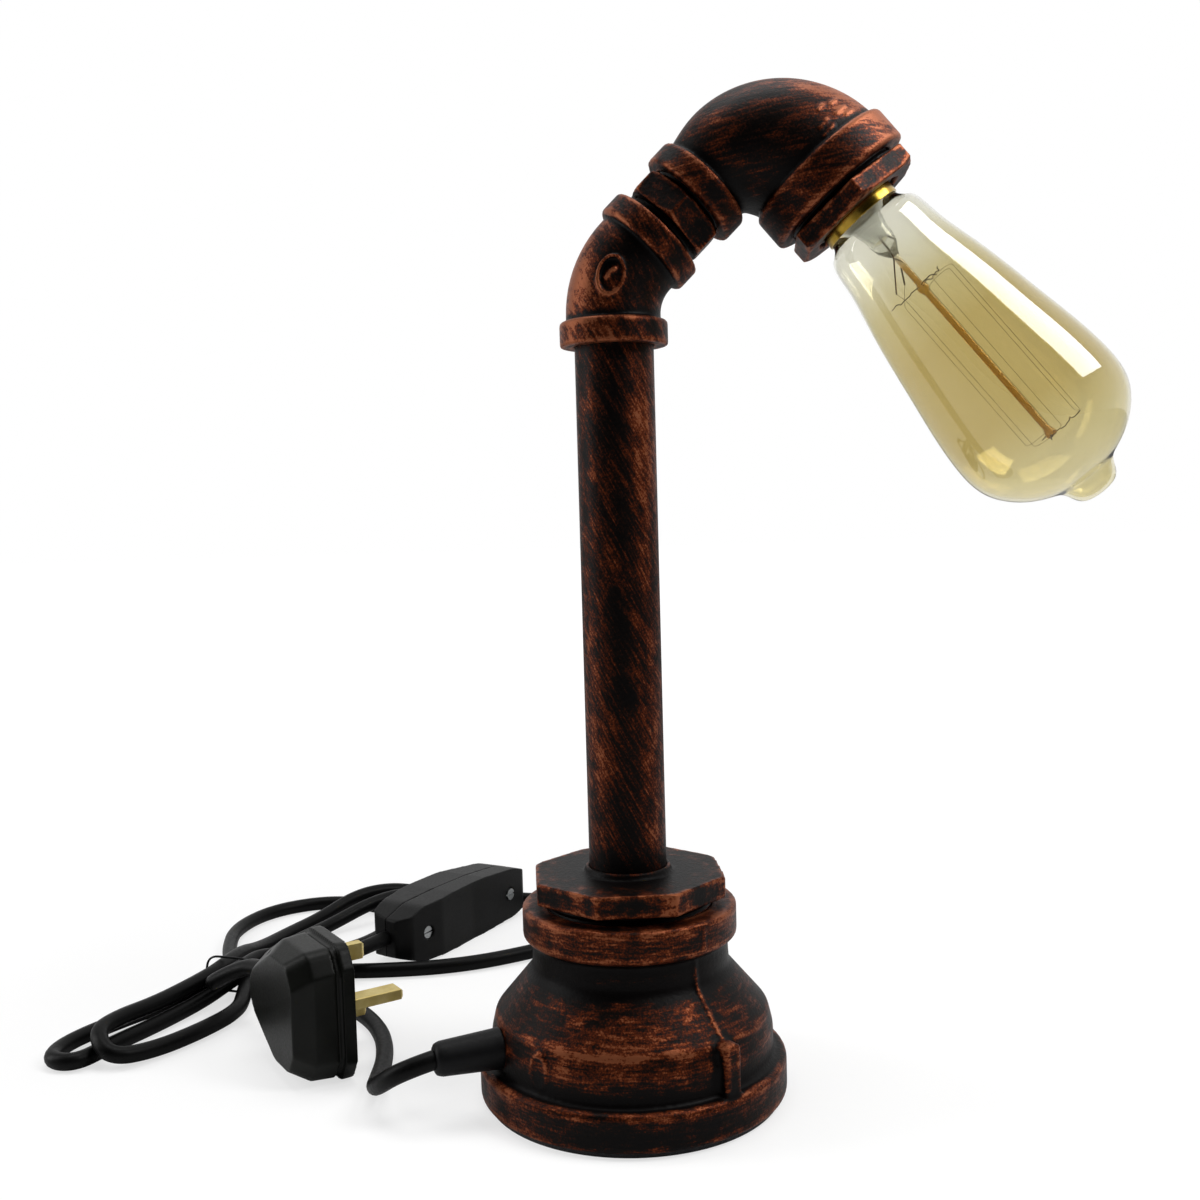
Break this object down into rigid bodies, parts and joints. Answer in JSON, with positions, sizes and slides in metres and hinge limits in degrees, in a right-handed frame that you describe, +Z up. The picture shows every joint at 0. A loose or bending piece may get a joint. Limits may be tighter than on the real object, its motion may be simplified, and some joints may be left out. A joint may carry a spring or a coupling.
{
  "type": "table lamp",
  "caption": "Industrial table lamp made of threaded pipe fittings in aged copper, with a bare filament bulb, an inline rocker switch and a UK plug on a black cord.",
  "frame": {"origin": "centre of the foot's flat underside", "axes": "+Z up the pipe's axis, +X towards the side the bulb hangs on, -Y towards the viewer"},
  "size_m": [0.3909, 0.2849, 0.3439],
  "materials": {
    "felt": "matte black felt",
    "aged_copper_casting": "black paint rubbed with copper on its high spots",
    "aged_copper_pipe": "black paint brushed with copper",
    "black_moulding": "satin black",
    "black_cord": "satin black PVC",
    "black_tie": "black coated wire",
    "clear_lead": "clear sheath",
    "brass": "satin",
    "zinc_steel": "zinc plated",
    "phenolic": "black phenolic",
    "white_ceramic": "unglazed",
    "solder": "dull",
    "black_glass": "opaque black",
    "clear_glass": "clear, faintly amber",
    "amber_glass": "clear glass, amber",
    "nickel_wire": "drawn wire",
    "filament": "drawn wire"
  },
  "bodies": {
    "stand": {"felt_pad": "felt", "base_reducer": "aged_copper_casting", "base_bushing": "aged_copper_casting", "stem_pipe": "aged_copper_pipe", "cord_gland": "black_moulding", "gland_nut": "black_moulding", "terminal_block": "black_moulding", "terminal_screws": "brass", "cord_tail": "black_cord", "earth_tag": "zinc_steel", "earth_screw": "zinc_steel", "earth_nut": "zinc_steel", "lead_stem": "clear_lead", "lamp_cord": "black_cord", "plug_cord": "black_cord", "cord_tie": "black_tie", "switch_base": "black_moulding", "switch_cover": "black_moulding", "switch_screws": "zinc_steel", "switch_contacts": "brass", "plug_base": "black_moulding", "plug_cover": "black_moulding", "plug_screw": "zinc_steel", "plug_collar": "black_moulding", "live_pin": "brass", "neutral_pin": "brass", "earth_pin": "brass", "pin_sleeves": "black_moulding"},
    "arm": {"elbow_45": "aged_copper_casting", "hex_nipple": "aged_copper_casting", "lead_arm": "clear_lead"},
    "head": {"reducing_elbow": "aged_copper_casting", "head_bushing": "aged_copper_casting", "lead_head": "clear_lead", "holder_sleeve": "phenolic", "holder_insert": "white_ceramic", "holder_shell": "brass", "holder_contact": "brass", "holder_screws": "zinc_steel"},
    "bulb_tip": {"bulb_contact": "solder"},
    "bulb": {"bulb_insulator": "black_glass", "bulb_cap": "brass", "bulb_glass": "clear_glass", "bulb_stem": "amber_glass", "bulb_leads": "nickel_wire", "bulb_filament": "filament"},
    "rocker": {"switch_rocker": "black_moulding"},
    "fuse_drawer": {"fuse_carrier": "black_moulding", "fuse": "white_ceramic"}
  },
  "joints": [
    {"name": "arm_swivel", "type": "hinge", "parent": "stand", "child": "arm", "pos_m": [0, 0, 0.2645], "axis": [0, 0, 1], "range_deg": [-90, 90]},
    {"name": "head_swivel", "type": "hinge", "parent": "arm", "child": "head", "pos_m": [0.02998, 0.0021, 0.30925], "axis": [0.7054, 0.0493, 0.7071], "range_deg": [-90, 90]},
    {"name": "bulb_travel", "type": "slide", "parent": "head", "child": "bulb_tip", "axis": [0.631, -0.0774, -0.7719], "range_m": [0, 0.01455]},
    {"name": "bulb_turn", "type": "hinge", "parent": "bulb_tip", "child": "bulb", "pos_m": [0.07339, 0.00149, 0.31063], "axis": [0.631, -0.0774, -0.7719], "range_deg": [0, 1440]},
    {"name": "rocker_tilt", "type": "hinge", "parent": "stand", "child": "rocker", "pos_m": [-0.09742, 0.17208, 0.0135], "axis": [0, 0, 1], "range_deg": [0, 20]},
    {"name": "fuse_slide", "type": "slide", "parent": "stand", "child": "fuse_drawer", "axis": [0.8331, 0.5531, 0], "range_m": [0, 0.012]}
  ],
  "couplings": [
    {"joint": "bulb_travel", "follows": "bulb_turn", "m_per_rad": 0.00057757}
  ]
}
